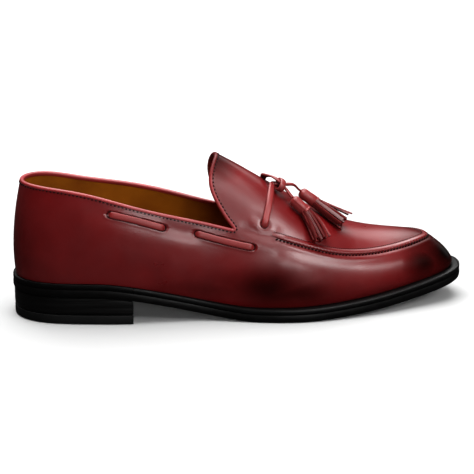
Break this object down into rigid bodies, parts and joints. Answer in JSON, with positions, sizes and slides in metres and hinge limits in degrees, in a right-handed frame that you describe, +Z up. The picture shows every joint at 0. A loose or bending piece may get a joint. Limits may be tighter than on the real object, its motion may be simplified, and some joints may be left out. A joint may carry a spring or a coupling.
{
  "type": "tassel loafer",
  "caption": "Men's leather tassel loafer, right shoe: almond toe, raised moccasin seam, side lacing through slots, knotted tassels on the vamp, welted sole and low stacked heel.",
  "frame": {"origin": "on the floor, under the middle of the box round the shoe without its knot and tassels", "axes": "+X from heel to toe, +Y to the medial side (the inner side of the right foot), +Z up"},
  "size_m": [0.2968, 0.1004, 0.1028],
  "materials": {
    "burnished_calf": "polished oxblood calf with dark burnish",
    "lace_leather": "satin oxblood calf lace with paler cut edges",
    "dressed_edge": "black inked and waxed edge",
    "stacked_leather": "black inked and waxed stacked leather",
    "sole_leather": "dark stained sole leather",
    "heel_rubber": "matt black rubber",
    "lining_leather": "tan vegetable-tanned leather"
  },
  "bodies": {
    "root": {"upper": "burnished_calf", "outsole": "sole_leather", "insole": "lining_leather", "welt": "dressed_edge", "heel_rand": "dressed_edge", "heel_stack": "stacked_leather", "top_lift": "heel_rubber", "lace_lateral_1": "lace_leather", "lace_lateral_2": "lace_leather", "lace_medial_1": "lace_leather", "lace_medial_2": "lace_leather", "vamp_strap": "lace_leather", "knot": "lace_leather", "front_tie": "lace_leather", "back_tie": "lace_leather", "front_tassel_head": "burnished_calf", "front_tassel_fringe": "lace_leather", "back_tassel_head": "burnished_calf", "back_tassel_fringe": "lace_leather"}
  },
  "joints": []
}
